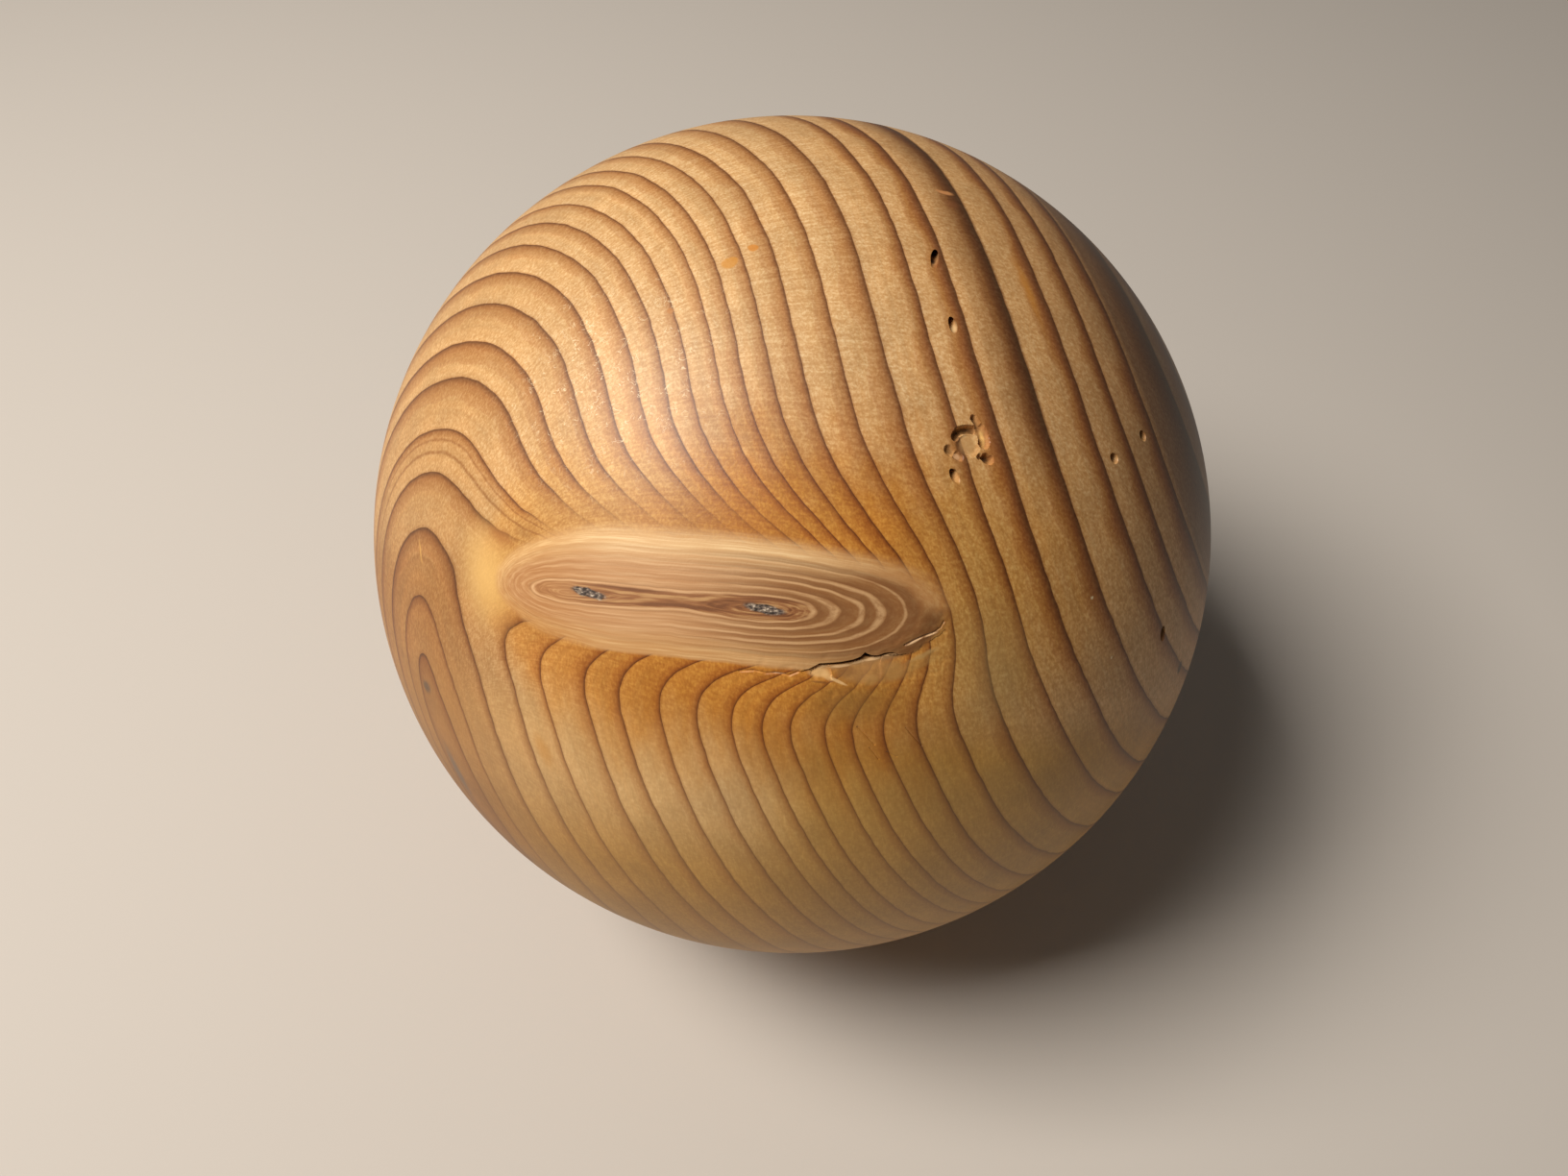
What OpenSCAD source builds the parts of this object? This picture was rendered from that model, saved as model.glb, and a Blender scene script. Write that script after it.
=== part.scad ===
// A turned softwood ball: one solid piece of wood. Turning it opened the bores and
// galleries that insects had left in the log, and drying opened a crack along the
// edge of its large knot. Millimetres, Z up, with the origin at the ball's middle.
// The knot is in the middle of the ball's face, and every mark is placed by its
// angles across and up that face.

/* [Ball] */
// Diameter of the ball
ball_d = 100; // [60:1:160]
// Lean of the ball's face from straight up
face_tilt = 38; // [0:1:80]

/* [Insect bores] */
// Diameter of the bores that the turning cut at a slant
slant_bore_d = 0.8; // [0.5:0.05:1.5]
// Diameter of the bores that go nearly straight in
straight_bore_d = 1.05; // [0.6:0.05:1.6]
// Length of an open bore along its axis
bore_run = 8; // [4:0.5:15]
// Length of the bore that is still packed with dust
packed_run = 1.6; // [0.8:0.1:3]

/* [Galleries] */
// Width of the patch that the galleries cover
gallery_span = 4.7; // [3.5:0.1:8]
// Width of one gallery
gallery_w = 0.85; // [0.5:0.05:1.2]
// Depth of a gallery below the surface
gallery_depth = 0.55; // [0.3:0.05:1]
// Depth of the hollow that the insects gnawed between the galleries
hollow_depth = 0.16; // [0.05:0.01:0.4]
// Width of that hollow at the surface
hollow_w = 2.2; // [1:0.1:3]

/* [Crack] */
// Length of the crack
crack_len = 8.9; // [4:0.1:14]
// Width of the crack at its widest
crack_w = 0.45; // [0.2:0.05:1]
// Depth of the crack
crack_depth = 2.5; // [1:0.1:6]

/* [Hidden] */

ball_r = ball_d / 2;
hollow_r = (hollow_w * hollow_w / 4 + hollow_depth * hollow_depth) / (2 * hollow_depth);
ball_facets = 144;
bore_facets = 24;

// How far a cutter stands out of the surface
proud = 1;

// Each bore: angle across the face, angle up it, diameter, lean of the axis from
// straight in, heading of the deep end from the face's right, length
bores = [
    [14.8, 31.5, slant_bore_d, 71, 82, bore_run],
    [16.3, 23, slant_bore_d, 63, 101, packed_run],
    [16, 6.1, slant_bore_d, 58, 121, bore_run],
    [36.6, 10.5, straight_bore_d, 30, 150, bore_run],
    [42.2, 15.3, straight_bore_d, 25, 140, bore_run],
    [47.3, -16.4, straight_bore_d, 50, 95, bore_run]
];

// Middle of the galleries, as angles across and up the face
gallery_spot = [17.6, 9.5];

// Routes of the galleries and place of the hollow, as shares of the span
gallery_routes = [
    [[-0.26, 0.14], [-0.13, 0.23], [0.12, 0.26]],
    [[0.16, 0.5], [0.27, 0.32], [0.31, 0.05]],
    [[-0.41, -0.13], [-0.22, -0.21]],
    [[0.22, -0.19], [0.41, -0.23]]
];
hollow_place = [0, 0.04];

// Middle of the crack, as angles across and up the face
crack_spot = [6.9, -12];

// Points along the crack: right and up as shares of its length, and its opening
// there as a share of its widest
crack_line = [
    [-0.63, -0.15, 0.1], [-0.48, -0.085, 0.35], [-0.21, -0.06, 0.4], [-0.1, -0.045, 0.55],
    [-0.04, -0.02, 0.7], [0, 0.01, 1], [0.05, 0, 0.6], [0.1, 0, 0.45], [0.16, 0.02, 0.35],
    [0.26, 0.024, 0.25], [0.37, -0.005, 0.1]
];

// Puts what follows on the surface: Z outwards, X to the face's right, Y up the face
module on_face(spot) {
    rotate([face_tilt - spot[1], 0, 0])
        rotate([0, spot[0], 0])
            translate([0, 0, ball_r])
                children();
}

// A straight round hole through the surface at the origin
module bore(d, lean, heading, run) {
    lead_in = d * tan(lean) + proud;
    rotate([0, 180 - lean, heading])
        translate([0, 0, -lead_in])
            cylinder(d = d, h = lead_in + run, $fn = bore_facets);
}

// A round-ended channel from one point to the next
module channel(from, to) {
    step = to - from;
    run = norm(step);
    translate([from[0], from[1], gallery_w / 2 - gallery_depth])
        rotate([0, 90, atan2(step[1], step[0])])
            rotate_extrude($fn = bore_facets)
                intersection() {
                    union() {
                        circle(d = gallery_w, $fn = bore_facets);
                        translate([0, run]) circle(d = gallery_w, $fn = bore_facets);
                        translate([-gallery_w / 2, 0]) square([gallery_w, run]);
                    }
                    translate([0, -gallery_w]) square([gallery_w, run + 2 * gallery_w]);
                }
}

module galleries() {
    for (route = gallery_routes)
        for (i = [1 : len(route) - 1])
            channel(route[i - 1] * gallery_span, route[i] * gallery_span);
    translate([hollow_place[0] * gallery_span, hollow_place[1] * gallery_span, hollow_r - hollow_depth])
        sphere(r = hollow_r, $fn = 2 * bore_facets);
}

module crack() {
    upper_lip = [for (p = crack_line) [p[0] * crack_len, p[1] * crack_len + p[2] * crack_w / 2]];
    lower_lip = [for (p = crack_line) [p[0] * crack_len, p[1] * crack_len - p[2] * crack_w / 2]];
    reversed_lip = [for (i = [len(lower_lip) - 1 : -1 : 0]) lower_lip[i]];
    translate([0, 0, -crack_depth])
        linear_extrude(height = crack_depth + proud)
            polygon(concat(upper_lip, reversed_lip));
}

module ball() {
    color("#c48f52")
        difference() {
            sphere(r = ball_r, $fn = ball_facets);
            for (b = bores)
                on_face([b[0], b[1]]) bore(b[2], b[3], b[4], b[5]);
            on_face(gallery_spot) galleries();
            on_face(crack_spot) crack();
        }
}

ball();
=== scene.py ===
import math

import bmesh
import bpy
from mathutils import Euler, Matrix, Vector, kdtree, noise


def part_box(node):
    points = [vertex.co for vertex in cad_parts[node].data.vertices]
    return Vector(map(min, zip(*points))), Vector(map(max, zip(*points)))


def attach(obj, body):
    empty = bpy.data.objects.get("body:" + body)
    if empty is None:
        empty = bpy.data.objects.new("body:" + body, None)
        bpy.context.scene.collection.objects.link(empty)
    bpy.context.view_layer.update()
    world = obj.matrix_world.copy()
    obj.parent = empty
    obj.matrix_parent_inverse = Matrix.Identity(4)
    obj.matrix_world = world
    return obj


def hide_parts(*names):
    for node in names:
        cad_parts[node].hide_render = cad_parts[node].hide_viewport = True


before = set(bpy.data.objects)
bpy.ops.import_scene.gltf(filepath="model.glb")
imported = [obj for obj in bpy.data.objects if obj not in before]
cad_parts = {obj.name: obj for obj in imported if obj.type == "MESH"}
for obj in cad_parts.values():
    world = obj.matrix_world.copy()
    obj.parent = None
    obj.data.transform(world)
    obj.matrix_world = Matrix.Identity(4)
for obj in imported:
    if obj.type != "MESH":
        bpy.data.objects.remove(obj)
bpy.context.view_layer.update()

# A turned ball of waxed softwood, cut from a log where a branch left the trunk. The
# wood is described as it grew: rings round the trunk's pith, a knot round the
# branch's pith, and the places where insects and drying opened the surface.
# Growth and places are in millimetres in the ball's own frame, with Z up.

MM = 0.001
BALL_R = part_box("ball")[1][1] / MM

# The knot faces this way: the ball's face leans this far from straight up
FACE_LEAN = 38


# ---------------------------------------------------------------- camera and light

# The camera's place, its lean from straight down, its lens, and where its view starts
CAMERA_AT = (-0.94, -92.8, 117.0)
CAMERA_LEAN = 36.1
CAMERA_LENS = 27.04
SENSOR_W = 36
CAMERA_NEAR = 10

# The floor is a wide sheet under the ball
FLOOR_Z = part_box("ball")[0][2] / MM
FLOOR_HALF = 1500

# Light of the pale room round it
ROOM_STRENGTH = 0.07


def to_linear(hex_colour):
    """An sRGB hex colour as linear RGBA."""
    parts = [int(hex_colour[i:i + 2], 16) / 255 for i in (1, 3, 5)]
    linear = [p / 12.92 if p <= 0.04045 else ((p + 0.055) / 1.055) ** 2.4 for p in parts]
    return (*linear, 1)


def add(tree, kind, *values, sockets=None, stops=(), line=(), **settings):
    """Adds one node. Values fill its inputs in order and sockets by name: a node or a
    socket is linked, anything else is set. Stops are a ramp's places and colours, line
    holds a curve's points, and settings are the node's own properties."""
    made = tree.nodes.new(kind)
    for name, setting in settings.items():
        setattr(made, name, setting)
    for place, value in [*enumerate(values), *(sockets or {}).items()]:
        if value is None:
            continue
        if isinstance(value, bpy.types.Node):
            value = value.outputs[0]
        if isinstance(value, bpy.types.NodeSocket):
            tree.links.new(value, made.inputs[place])
        else:
            made.inputs[place].default_value = value
    for number, (place, colour) in enumerate(stops):
        ramp = made.color_ramp.elements
        stop = ramp[number] if number < 2 else ramp.new(place)
        stop.position = place
        stop.color = to_linear(colour)
    for number, point in enumerate(line):
        points = made.mapping.curves[0].points
        spot = points[number] if number < 2 else points.new(*point)
        spot.location = point
        spot.handle_type = "VECTOR"
    if line:
        made.mapping.update()
    return made


def new_material(name):
    """An empty material with its node tree and its shader."""
    material = bpy.data.materials.new(name)
    material.use_nodes = True
    tree = material.node_tree
    tree.nodes.clear()
    shader = tree.nodes.new("ShaderNodeBsdfPrincipled")
    add(tree, "ShaderNodeOutputMaterial", shader)
    return material, tree, shader


def new_piece(name, bm, material):
    """A finished mesh object at the origin."""
    mesh = bpy.data.meshes.new(name)
    bm.to_mesh(mesh)
    bm.free()
    mesh.materials.append(material)
    piece = bpy.data.objects.new(name, mesh)
    bpy.context.collection.objects.link(piece)
    return piece


def set_camera():
    """A phone's wide lens, above the ball and in front of it."""
    lens = bpy.data.cameras.new("camera")
    lens.lens = CAMERA_LENS
    lens.sensor_width = SENSOR_W
    lens.clip_start = CAMERA_NEAR * MM
    camera = bpy.data.objects.new("camera", lens)
    camera.location = Vector(CAMERA_AT) * MM
    camera.rotation_euler = (math.radians(CAMERA_LEAN), 0, 0)
    bpy.context.collection.objects.link(camera)
    bpy.context.scene.camera = camera


def add_lamp(name, bearing, height, distance, size, power, colour):
    """A square soft lamp that looks at the ball from a bearing and a height angle."""
    light = bpy.data.lights.new(name, "AREA")
    light.size = size * MM
    light.energy = power
    light.color = to_linear(colour)[:3]
    lamp = bpy.data.objects.new(name, light)
    way = Euler((math.radians(90 - height), 0, math.radians(bearing))).to_matrix()
    lamp.matrix_world = Matrix.Translation(way @ Vector((0, 0, distance * MM))) @ way.to_4x4()
    bpy.context.collection.objects.link(lamp)


def set_light():
    """One soft lamp high on the left, and a pale room."""
    add_lamp("left", bearing=-79, height=58, distance=600, size=260, power=4.3, colour="#FFF8F0")
    world = bpy.data.worlds.new("studio")
    world.use_nodes = True
    sky = world.node_tree.nodes["Background"]
    sky.inputs["Color"].default_value = to_linear("#FFFAF4")
    sky.inputs["Strength"].default_value = ROOM_STRENGTH
    bpy.context.scene.world = world
    bpy.context.scene.view_settings.view_transform = "Standard"


def add_floor():
    # Matt card: one quiet warm grey, pale, with no gloss
    card, tree, shader = new_material("matt_card")
    shader.inputs["Base Color"].default_value = to_linear("#D2CBC2")
    shader.inputs["Roughness"].default_value = 0.95
    bm = bmesh.new()
    bmesh.ops.create_grid(bm, x_segments=1, y_segments=1, size=FLOOR_HALF * MM)
    bmesh.ops.translate(bm, verts=bm.verts, vec=(0, 0, FLOOR_Z * MM))
    new_piece("floor", bm, card)


# ---------------------------------------------------------------- where marks sit

# Spots of marks that are both cut and coloured: angles across and up the face
TOP_BORE = (14.8, 31.5)
PACKED_BORE = (16.3, 23)
LOW_BORE = (16, 6.1)
GALLERY_SPOT = (17.6, 9.5)
CRACK_SPOT = (6.9, -12)


def on_face(across, up):
    """The frame of a place on the surface, given by its angles across and up the face:
    Z outwards, X to the face's right, Y up the face, origin on the surface."""
    lean = Matrix.Rotation(math.radians(FACE_LEAN - up), 3, "X")
    turn = lean @ Matrix.Rotation(math.radians(across), 3, "Y")
    return Matrix.Translation(turn @ Vector((0, 0, BALL_R))) @ turn.to_4x4()


# ---------------------------------------------------------------- wood as it grew

# The trunk: where its pith leaves the ball, the turn of its axis (local Z), how far the
# pith has swept sideways at a reach along it, and the radius that rounds off its core.
# Its rings are wider on one side, oval, and taper with the first and second power of
# the way along the trunk.
TRUNK_AT = (-37.5, -32.5, 14.5)
TRUNK_TURN = (-167, 4, -162)
TRUNK_REACH = 50
TRUNK_SWEEP = (-7.5, -36, 0)
TRUNK_CORE = 2
RINGS_WIDER = 0.4
RINGS_OVAL = 0.4
RINGS_TAPER = (-0.22, -0.15)

# The branch bends the trunk's rings round itself. Where its pith is, the turn of its
# axis (local Z), and how far the pith has swept at a reach along it
BRANCH_AT = (-18, -32.5, 33.5)
BRANCH_TURN = (85, -46, 81)
BRANCH_REACH = 30
BRANCH_SWEEP = (-1.6, 0, 0)
# Growth on its axis, and its rise with the first and second power of the way along
BRANCH_START = 80
BRANCH_RISE = (-0.2, 0.016)
# Rise of the growth away from the axis, across the grain and into the wood, what
# rounds it off at the core, and how it leans to one side
BRANCH_STEEPNESS = (11, 18, 0)
BRANCH_CORE = 0.9
BRANCH_LEAN = -2.7
# It rises again this far behind the branch's start
BRANCH_BACK = 14
BRANCH_BACK_RISE = 0.35
# How gently the branch's growth and the trunk's run into each other
JOIN_WIDTH = 224

# Growth at which each ring ends in its dark line, counted from the pith, as read off
# a ruler of growth laid across the ball
RING_ENDS = [
    2.9, 4.6, 7.6, 10.7, 13.4, 17.0, 19.7, 22.8, 25.7, 28.4, 30.8, 33.0, 35.7, 37.9, 40.5,
    43.4, 47.1, 51.4, 56.3, 60.5, 65.7, 71.0, 75.0, 79.3, 85.3, 89.0, 93.0, 97.0,
]
GROWTH_END = 100


def trunk_growth(tree, place):
    """Distance from the trunk's pith, as the rings count it, and the place in the
    trunk's own frame."""
    local = add(tree, "ShaderNodeMapping", place, TRUNK_AT, [math.radians(a) for a in TRUNK_TURN],
                vector_type="TEXTURE")
    along = add(tree, "ShaderNodeSeparateXYZ", local).outputs[2]
    along = add(tree, "ShaderNodeMath", along, TRUNK_REACH, operation="DIVIDE")
    along_squared = add(tree, "ShaderNodeMath", along, along, operation="MULTIPLY")
    sweep = add(tree, "ShaderNodeVectorMath", TRUNK_SWEEP, sockets={"Scale": along_squared},
                operation="SCALE")
    bent = add(tree, "ShaderNodeVectorMath", local, sweep, operation="SUBTRACT")
    x, y, _ = add(tree, "ShaderNodeSeparateXYZ", bent).outputs
    x_squared = add(tree, "ShaderNodeMath", x, x, operation="MULTIPLY")
    y_squared = add(tree, "ShaderNodeMath", y, y, operation="MULTIPLY")
    radius_squared = add(tree, "ShaderNodeMath", x_squared, y_squared, operation="ADD")
    core_squared = add(tree, "ShaderNodeMath", radius_squared, TRUNK_CORE ** 2, operation="ADD")
    radius = add(tree, "ShaderNodeMath", core_squared, operation="SQRT")
    one_side = add(tree, "ShaderNodeMath", x, RINGS_WIDER, radius, operation="MULTIPLY_ADD")
    difference = add(tree, "ShaderNodeMath", x_squared, y_squared, operation="SUBTRACT")
    share = add(tree, "ShaderNodeMath", difference, radius, operation="DIVIDE")
    oval = add(tree, "ShaderNodeMath", share, RINGS_OVAL, one_side, operation="MULTIPLY_ADD")
    taper = add(tree, "ShaderNodeMath", along, RINGS_TAPER[0], 1, operation="MULTIPLY_ADD")
    taper = add(tree, "ShaderNodeMath", along_squared, RINGS_TAPER[1], taper, operation="MULTIPLY_ADD")
    return add(tree, "ShaderNodeMath", oval, taper, operation="MULTIPLY"), local


def branch_growth(tree, place):
    """What the branch asks of the rings: low along its axis, steep away from it."""
    local = add(tree, "ShaderNodeMapping", place, BRANCH_AT, [math.radians(a) for a in BRANCH_TURN],
                vector_type="TEXTURE")
    along = add(tree, "ShaderNodeSeparateXYZ", local).outputs[2]
    reach = add(tree, "ShaderNodeMath", along, BRANCH_REACH, operation="DIVIDE")
    reach_squared = add(tree, "ShaderNodeMath", reach, reach, operation="MULTIPLY")
    sweep = add(tree, "ShaderNodeVectorMath", BRANCH_SWEEP, sockets={"Scale": reach_squared},
                operation="SCALE")
    bent = add(tree, "ShaderNodeVectorMath", local, sweep, operation="SUBTRACT")
    steep = add(tree, "ShaderNodeVectorMath", bent, BRANCH_STEEPNESS, operation="MULTIPLY")
    squared = add(tree, "ShaderNodeVectorMath", steep, steep, operation="DOT_PRODUCT").outputs["Value"]
    cored = add(tree, "ShaderNodeMath", squared, BRANCH_CORE ** 2, operation="ADD")
    cone = add(tree, "ShaderNodeMath", cored, operation="SQRT")
    across = add(tree, "ShaderNodeSeparateXYZ", bent).outputs[0]
    leant = add(tree, "ShaderNodeMath", across, BRANCH_LEAN, cone, operation="MULTIPLY_ADD")
    rise = add(tree, "ShaderNodeMath", along, BRANCH_RISE[1], BRANCH_RISE[0], operation="MULTIPLY_ADD")
    rise = add(tree, "ShaderNodeMath", along, rise, BRANCH_START, operation="MULTIPLY_ADD")
    behind = add(tree, "ShaderNodeMath", along, BRANCH_BACK, operation="ADD")
    behind = add(tree, "ShaderNodeMath", behind, 0, operation="MINIMUM")
    behind_squared = add(tree, "ShaderNodeMath", behind, behind, operation="MULTIPLY")
    back = add(tree, "ShaderNodeMath", behind_squared, BRANCH_BACK_RISE, rise, operation="MULTIPLY_ADD")
    return add(tree, "ShaderNodeMath", leant, back, operation="ADD")


# The knot: its pith runs along local Z, just under the surface from one pith mark to
# the other. Its rim is round, a share wider above the pith where it isn't even yet,
# and narrows at the left end, down to a least share of its width.
KNOT_AT = (-18, -32.3, 33.2)
KNOT_TURN = (80.5, -38.5, 84.5)
KNOT_R = 5.4
KNOT_NARROWS_FROM = 4
KNOT_NARROWING = 0.003
KNOT_LEAST = 0.05
KNOT_WIDER_ABOVE = 0.1
KNOT_EVEN_FROM = (12, 22)


def knot_growth(tree, place):
    """Distance from the branch's pith, in millimetres of a knot of even width, and the
    place in the knot's own frame: across its pith, into the wood and along the pith."""
    local = add(tree, "ShaderNodeMapping", place, KNOT_AT, [math.radians(a) for a in KNOT_TURN],
                vector_type="TEXTURE")
    parts = add(tree, "ShaderNodeSeparateXYZ", local)
    across, deep, along = parts.outputs
    flat = add(tree, "ShaderNodeCombineXYZ", across, deep)
    radius = add(tree, "ShaderNodeVectorMath", flat, operation="LENGTH").outputs["Value"]
    wider = add(tree, "ShaderNodeMapRange", along, *KNOT_EVEN_FROM, KNOT_WIDER_ABOVE, 0,
                interpolation_type="SMOOTHSTEP")
    shift = add(tree, "ShaderNodeMath", across, wider, operation="MULTIPLY")
    shifted = add(tree, "ShaderNodeMath", radius, shift, operation="SUBTRACT")
    past = add(tree, "ShaderNodeMath", KNOT_NARROWS_FROM, along, operation="SUBTRACT")
    past = add(tree, "ShaderNodeMath", past, 0, operation="MAXIMUM")
    past_squared = add(tree, "ShaderNodeMath", past, past, operation="MULTIPLY")
    width = add(tree, "ShaderNodeMath", past_squared, -KNOT_NARROWING, 1, operation="MULTIPLY_ADD")
    width = add(tree, "ShaderNodeMath", width, KNOT_LEAST, operation="MAXIMUM")
    return add(tree, "ShaderNodeMath", shifted, width, operation="DIVIDE"), local, parts


# ---------------------------------------------------------------- colours of the wood

# Colours through the early wood of one ring, and through its late wood
EARLY_COLOURS = [(0, "#DCB88C"), (0.06, "#F4D6A8"), (0.5, "#ECCB9A"), (1, "#E4BE8E")]
LATE_COLOURS = [
    (0, "#E4BE8E"), (0.45, "#D0A674"), (0.7, "#BE8E5E"), (0.86, "#9A6C44"), (0.95, "#6E4628"),
    (1, "#865C3C"),
]
# The outer rings have late wood that is dark for most of its width, and they start
# where the growth is between these shares of its last value
DARK_LATE_COLOURS = [
    (0, "#E4BE8E"), (0.3, "#C89A62"), (0.55, "#A87344"), (0.75, "#875534"), (0.9, "#683E22"),
    (0.96, "#54301A"), (1, "#8A5C38"),
]
DARK_LATE_FROM = (0.48, 0.6)
# By growth, how much of a ring is late wood
LATE_SHARES = [
    (0, 0.3), (11, 0.34), (16, 0.45), (40, 0.48), (60, 0.48), (60.5, 0.55), (65.7, 0.55),
    (66, 0.44), (71, 0.52), (79, 0.6), (85, 0.8), (89, 0.75), (92, 0.55), (100, 0.5),
]
# Tints of the wood by its share of the growth: the rings from 79 to 89 of growth, which
# lie at the ball's shaded right side, darken all the way through as painted shade
RING_TINTS_AND_SHADE = [
    (0, "#EADCCA"), (0.1, "#F0E4D2"), (0.2, "#FCF4E6"), (0.3, "#FFFAF2"), (0.5, "#FFFAF2"),
    (0.606, "#FCF0E0"), (0.66, "#FAEEDC"), (0.7, "#F2E4D2"), (0.75, "#E6D6C4"),
    (0.792, "#D2C2B2"), (0.8, "#94827A"), (0.85, "#7C6C66"), (0.86, "#9C8E82"),
    (0.89, "#A09286"), (0.93, "#D0C2B2"), (1, "#E2D4C4"),
]
# One ring is heavy with resin above the knot: its strength by its share of the growth
HEAVY_RING = [(0, 0), (0.606, 0), (0.625, 0.35), (0.645, 0.85), (0.656, 1), (0.658, 0), (1, 0)]
HEAVY_TINT = "#7E5C3C"
# Faint lines inside rings above the knot: growth, half width, strength
FALSE_LINES = [(6.2, 0.25, 0.35), (11.9, 0.2, 0.6), (12.7, 0.16, 0.5)]
FALSE_LINE_COLOUR = "#A06A34"
# Where rings lose themselves, they turn to this
PALE_WOOD = "#D8B078"

# Rings waver, so that none is as true as a formula: over what distance, by how much,
# and with how much finer detail
WAVERS = [(12, 0.55, 1), (1.5, 0.14, 0)]

# Pale ring lines of the knot: distance from its pith, half width, strength
KNOT_LINES = [
    (1.12, 0.11, 0.85), (1.68, 0.16, 0.85), (2.4, 0.12, 0.85), (2.98, 0.17, 0.8), (3.8, 0.08, 0.7),
]
# The knot's brown wood ends here, and nothing of it is drawn past its end
KNOT_RIM = 4.2
KNOT_END = 6


def wavering(tree, place):
    """The place, pushed about a little."""
    for size, push, detail in WAVERS:
        blot = add(tree, "ShaderNodeTexNoise", place, sockets={"Scale": 1 / size, "Detail": detail})
        centred = add(tree, "ShaderNodeVectorMath", blot.outputs["Color"], (0.5, 0.5, 0.5),
                      operation="SUBTRACT")
        pushed = add(tree, "ShaderNodeVectorMath", centred, sockets={"Scale": push}, operation="SCALE")
        place = add(tree, "ShaderNodeVectorMath", place, pushed, operation="ADD")
    return place


def ring_place(tree, growth):
    """Where a growth falls in its ring, from 0 to 1, the number of that ring, and the
    growth as a share of the last one."""
    share = add(tree, "ShaderNodeMath", growth, GROWTH_END, operation="DIVIDE")
    rings = len(RING_ENDS) + 1
    steps = [(0, 0), *((end / GROWTH_END, (i + 1) / rings) for i, end in enumerate(RING_ENDS)), (1, 1)]
    count = add(tree, "ShaderNodeFloatCurve", None, share, line=steps)
    count = add(tree, "ShaderNodeMath", count, rings, operation="MULTIPLY")
    phase = add(tree, "ShaderNodeMath", count, operation="FRACT")
    return phase, add(tree, "ShaderNodeMath", count, operation="FLOOR"), share


def face_place(tree, place, spot, turn=0, size=(1, 1, 1)):
    """The place as seen from a spot of the face, turned in the face and in units of size."""
    middle = on_face(*spot) @ Matrix.Rotation(math.radians(turn), 4, "Z")
    return add(tree, "ShaderNodeMapping", place, middle.translation, middle.to_euler(), size,
               vector_type="TEXTURE")


def fade_out(tree, local, edge, strength=1):
    """The strength within a distance of 1, of which the edge is the part that fades."""
    far = add(tree, "ShaderNodeVectorMath", local, operation="LENGTH").outputs["Value"]
    return add(tree, "ShaderNodeMapRange", far, 1, 1 - edge, 0, strength, interpolation_type="SMOOTHSTEP")


def patch(tree, place, spot, size, turn, edge, strength=1):
    """The strength in a patch round a spot of the face and 0 outside. Its half sizes are
    given to the right and up the face."""
    return fade_out(tree, face_place(tree, place, spot, turn, (*size, max(size))), edge, strength)


def near_patch(tree, local, offset, size, turn, edge, strength):
    """A patch in the frame of a spot, at an offset to the right and up from it. A third
    half size is how far it reaches into the wood."""
    offset = Vector((*offset, 0))
    if turn:
        local = add(tree, "ShaderNodeVectorRotate", local, sockets={"Angle": -math.radians(turn)},
                    rotation_type="Z_AXIS")
        offset.rotate(Euler((0, 0, -math.radians(turn))))
    share = Vector([1 / half for half in (*size, max(size))[:3]])
    return fade_out(tree, add(tree, "ShaderNodeVectorMath", local, share, -offset * share,
                              operation="MULTIPLY_ADD"), edge, strength)


def late_wood(tree, phase, number, share, clouds, across):
    """How far into the late wood of its ring a place is, from 0 to 1."""
    lot = add(tree, "ShaderNodeTexWhiteNoise", None, number, noise_dimensions="1D")
    vary = add(tree, "ShaderNodeMapRange", lot, 0, 1, 0.7, 1.2)
    late_share = add(tree, "ShaderNodeFloatCurve", None, share,
                     line=[(end / GROWTH_END, part) for end, part in LATE_SHARES])
    late_share = add(tree, "ShaderNodeMath", late_share, vary, operation="MULTIPLY")
    uneven = add(tree, "ShaderNodeMapRange", clouds, 0.35, 0.65, 0.75, 1.25)
    late_share = add(tree, "ShaderNodeMath", late_share, uneven, operation="MULTIPLY")

    # Below the knot the late wood is thin
    thin = add(tree, "ShaderNodeMapRange", across, 5, -9, 1, 0.62, interpolation_type="SMOOTHSTEP")
    late_share = add(tree, "ShaderNodeMath", late_share, thin, operation="MULTIPLY")
    left = add(tree, "ShaderNodeMath", 1, phase, operation="SUBTRACT")
    left = add(tree, "ShaderNodeMath", left, late_share, operation="DIVIDE")
    return add(tree, "ShaderNodeMath", 1, left, operation="SUBTRACT", use_clamp=True)


def tint_rings(tree, colour, growth, share, across, along):
    """Gives each ring its own tint, darkens the rings at the ball's shaded right side as painted shade,
    and adds thin bands of a slightly other tone along it.
    """
    band_x = add(tree, "ShaderNodeMath", growth, 1.6, operation="MULTIPLY")
    band_y = add(tree, "ShaderNodeMath", along, 0.04, operation="MULTIPLY")
    bands = add(tree, "ShaderNodeTexNoise", add(tree, "ShaderNodeCombineXYZ", band_x, band_y),
                sockets={"Scale": 1, "Detail": 2})
    band_tone = add(tree, "ShaderNodeMapRange", bands, 0.3, 0.7, 0.92, 1.06)
    # Painted shade darkens the rings that lie at the ball's shaded right side
    tint = add(tree, "ShaderNodeValToRGB", share, stops=RING_TINTS_AND_SHADE)
    tint = add(tree, "ShaderNodeMixRGB", 1, tint, band_tone, blend_type="MULTIPLY")
    colour = add(tree, "ShaderNodeMixRGB", 1, colour, tint, blend_type="MULTIPLY")
    heavy = add(tree, "ShaderNodeFloatCurve", None, share, line=HEAVY_RING)
    high = add(tree, "ShaderNodeMapRange", across, 8, 20, 0.15, 1, interpolation_type="SMOOTHSTEP")
    heavy = add(tree, "ShaderNodeMath", heavy, high, operation="MULTIPLY")
    return add(tree, "ShaderNodeMixRGB", heavy, colour, to_linear(HEAVY_TINT), blend_type="MULTIPLY")


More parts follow.
